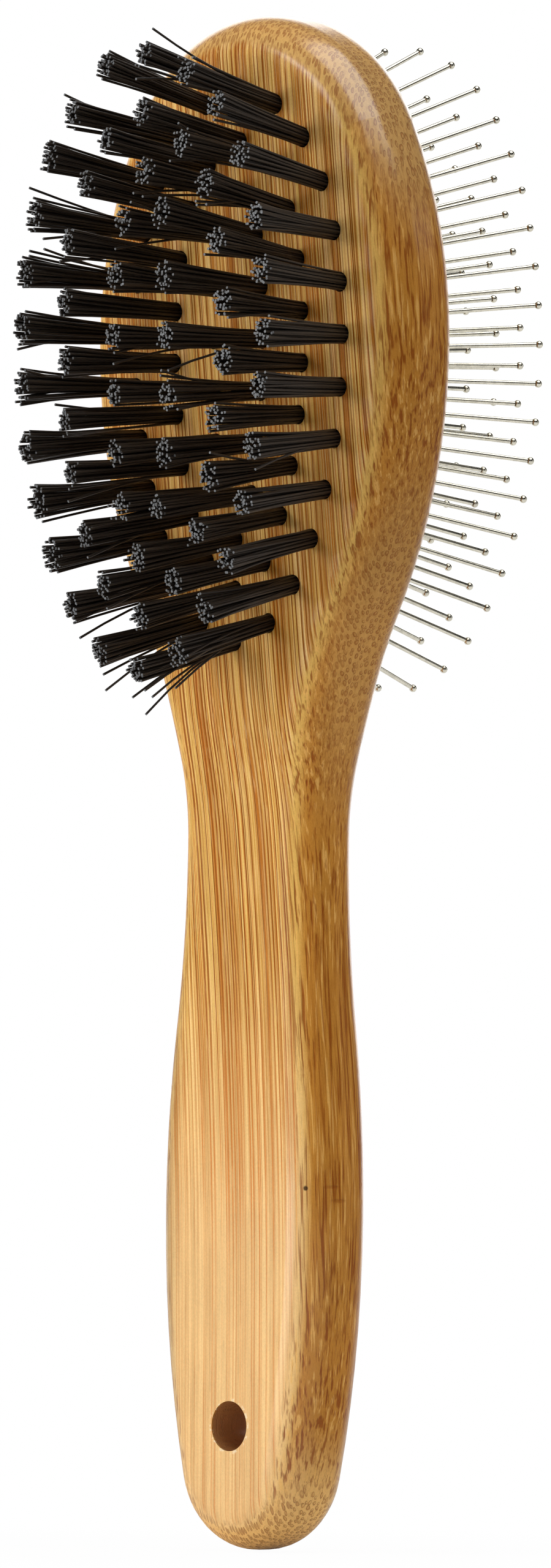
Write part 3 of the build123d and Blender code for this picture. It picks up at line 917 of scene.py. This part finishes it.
def rubber():
    """Soft black rubber: dull, with the moulding's faint pores and a bloom of lighter dust."""
    made, tree = new_material("cushion rubber")
    place = place_in_mm(tree)
    pores = noise(tree, stretched(tree, place, 3.5, 3.5, 3.5), 3.0, 0.6)
    bloom = noise(tree, stretched(tree, place, 0.12, 0.12, 0.12), 3.0, 0.6)
    colour = mixed(tree, RUBBER_DARK, RUBBER_BLOOM, bloom.ramp(0.4, 0.7))
    bump = {"Strength": 0.3, "Distance": 0.05 * MM, "Height": pores}
    sockets = {
        "Base Color": colour, "Roughness": 0.55 + 0.15 * pores,
        "Normal": Wire.make(tree, "ShaderNodeBump", None, bump),
    }
    finish_surface(tree, Wire.make(tree, "ShaderNodeBsdfPrincipled", None, sockets))
    return made


print("rubber ready")

# %% [markdown]
# When the brush is used the pins sink into the cushion and the rubber flattens under them. The
# joint moves the pins. Its travel and the rubber's height are worked out here, but the dome is
# not squashed and keeps its shape.

# %% The rubber in place
press = next(joint for joint in frame["joints"] if joint["name"] == "pin_bed_press")
travel = press["range_m"][1]
rubber_height = (FACE_Y + DOME_RISE - SEAT_Y) * MM
points, faces = cushion_grid()
cushion = mesh_piece("air_cushion", points * MM, faces, "brush", rubber())
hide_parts("pin_cushion")
1 - travel / rubber_height
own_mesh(cushion)
print("dome rises to", round(float(points[:, 1].max()), 2), "mm")

# %% [markdown]
# The camera looks at the brush level with its middle, turned to the right of the bristle face by
# half a right angle, so that both faces show. It stands far enough off that nothing tapers, and
# is rolled a little, because the brush leans by a bit over half a degree.

# %% Camera
VIEW_TURN = 46.0
VIEW_ROLL = 0.63
DISTANCE = 4.0
VIEW_HEIGHT = 240.4 * MM
SENSOR = 36.0
# The point in the middle of the view: how far right of the brush's axis, and its height.
AIM_RIGHT, AIM_HEIGHT = 0.97 * MM, 98.4 * MM


def aimed_camera():
    """A long lens that takes in the view's height at the object's distance."""
    turn = math.radians(VIEW_TURN)
    back = np.array([math.sin(turn), -math.cos(turn), 0.0])
    right = np.array([math.cos(turn), math.sin(turn), 0.0])
    data = bpy.data.cameras.new("camera")
    data.sensor_width = SENSOR
    data.lens = SENSOR * DISTANCE / VIEW_HEIGHT
    camera = bpy.data.objects.new("camera", data)
    bpy.context.scene.collection.objects.link(camera)
    camera.location = right * AIM_RIGHT + np.array([0, 0, AIM_HEIGHT]) + back * DISTANCE
    camera.rotation_mode = "XYZ"
    camera.rotation_euler = (math.pi / 2, 0.0, turn)
    camera.rotation_euler.rotate_axis("Z", math.radians(VIEW_ROLL))
    data.clip_start, data.clip_end = 0.01, 50.0
    return camera


bpy.context.scene.camera = aimed_camera()
bpy.context.scene.view_settings.view_transform = "Standard"
print("camera", [round(v, 3) for v in bpy.context.scene.camera.location])

# %% [markdown]
# A studio for a bright subject on white: a tall soft box to the left lights the bristle face, a
# faint one fills the right side, one hangs overhead and a white panel stands behind. A lamp's
# power for a given brightness grows with the square of its distance, so each is set by the light
# it should give at the brush.

# %% Lights
LAMPS = {
    # name: turn from the view and height in degrees, distance and size in metres, light
    "key": (-72, 4, 0.95, (0.42, 0.95), 0.98),
    "side": (92, 2, 0.9, (0.3, 0.8), 0.08),
    "overhead": (35, 74, 0.9, (0.9, 0.9), 0.74),
    "backdrop": (180, 0, 1.1, (1.4, 1.4), 0.60),
}
LAMP_AIM = np.array([0, 0, 0.1])


def soft_box(name, turn, height, distance, size, light):
    """A rectangular lamp aimed at the brush; light is what a white card there would return.

    A card that faces a small lamp returns energy / (pi x distance)^2.
    """
    data = bpy.data.lights.new(name, "AREA")
    data.shape = "RECTANGLE"
    data.size, data.size_y = size
    data.energy = light * math.pi**2 * distance**2
    lamp = bpy.data.objects.new(name, data)
    bpy.context.scene.collection.objects.link(lamp)
    angle, level = math.radians(VIEW_TURN + turn), math.radians(height)
    flat = math.cos(level)
    away = np.array([math.sin(angle) * flat, -math.cos(angle) * flat, math.sin(level)])
    lamp.location = away * distance + LAMP_AIM
    lamp.rotation_mode = "QUATERNION"
    lamp.rotation_quaternion = Vector(away.tolist()).to_track_quat("Z", "Y")
    lamp.visible_camera = False
    return lamp


for name, settings in LAMPS.items():
    soft_box(name, *settings)
print("lamps:", ", ".join(LAMPS))

# %% [markdown]
# The floor and the world are white to the eye but lend the brush only a little light, so colours
# stay as written. Light Path tells which ray asks: the eye sees white everywhere, gloss sees
# white only behind the brush, and soft light gets a grey.

# %% Floor and world
WORLD_LIGHT, WORLD_GLOSS, BEHIND_GLOSS = 0.27, 0.05, 0.80
FLOOR_REACH, FLOOR_CORNERS, FLOOR_GAP = 1.2, 96, 0.0003
FLOOR_GLOSS, SHADOW_SHARE = 0.35, 0.03
SHADOW_FADE = (40.0, 150.0)
BEHIND_EDGE = (0.72, 0.92)


def ray_kinds(tree):
    """Two wires: 1 for rays that the eye sees, directly or through glass, and 1 for gloss."""
    rays = Wire.make(tree, "ShaderNodeLightPath").socket.node.outputs
    seen = Wire(tree, rays["Is Camera Ray"]).maths("MAXIMUM", Wire(tree, rays["Is Transmission Ray"]))
    return seen, Wire(tree, rays["Is Glossy Ray"])


def white_world():
    """White where the eye meets it, soft grey as a light, and white behind the brush in gloss."""
    world = bpy.data.worlds.new("studio")
    bpy.context.scene.world = world
    world.use_nodes = True
    tree = world.node_tree
    tree.nodes.clear()
    seen, gloss = ray_kinds(tree)
    toward = Wire.make(tree, "ShaderNodeTexCoord", None, None, 0)
    x, y, _ = toward.split()
    turn = math.radians(VIEW_TURN)
    behind = (y * math.cos(turn) - x * math.sin(turn)).ramp(*BEHIND_EDGE)
    in_gloss = gloss * (WORLD_GLOSS + BEHIND_GLOSS * behind)
    strength = seen + (1 - seen) * (in_gloss + (1 - gloss) * WORLD_LIGHT)
    shader = Wire.make(tree, "ShaderNodeBackground", None, {"Color": (1, 1, 1, 1), "Strength": strength})
    Wire.make(tree, "ShaderNodeOutputWorld", None, {"Surface": shader})


def white_floor():
    """A wide pale disc just under the handle end, white to the eye but for a trace of shadow."""
    turn = np.arange(FLOOR_CORNERS) * 2 * math.pi / FLOOR_CORNERS
    level = np.full(FLOOR_CORNERS, cad_box[0].z - FLOOR_GAP)
    ring = np.stack([FLOOR_REACH * np.cos(turn), FLOOR_REACH * np.sin(turn), level], 1)
    mesh = bpy.data.meshes.new("floor")
    mesh.from_pydata(ring.tolist(), [], [list(range(FLOOR_CORNERS))])
    made, tree = new_material("white floor")
    seen, gloss = ray_kinds(tree)
    seen = seen.maths("MAXIMUM", FLOOR_GLOSS * gloss)
    x, y, _ = place_in_mm(tree).split()
    far = (x * x + y * y).maths("SQRT").ramp(*SHADOW_FADE)
    matt = Wire.make(tree, "ShaderNodeBsdfDiffuse", None, {"Color": (0.8, 0.8, 0.8, 1)})
    glow = Wire.make(tree, "ShaderNodeEmission", None, {"Color": (1, 1, 1, 1), "Strength": 1.0})
    lit = seen * (1 - SHADOW_SHARE + SHADOW_SHARE * far)
    finish_surface(tree, Wire.make(tree, "ShaderNodeMixShader", None, {0: lit, 1: matt, 2: glow}))
    mesh.materials.append(made)
    floor = bpy.data.objects.new("floor", mesh)
    bpy.context.scene.collection.objects.link(floor)


white_world()
white_floor()
print("floor", round(2 * FLOOR_REACH, 1), "m across")
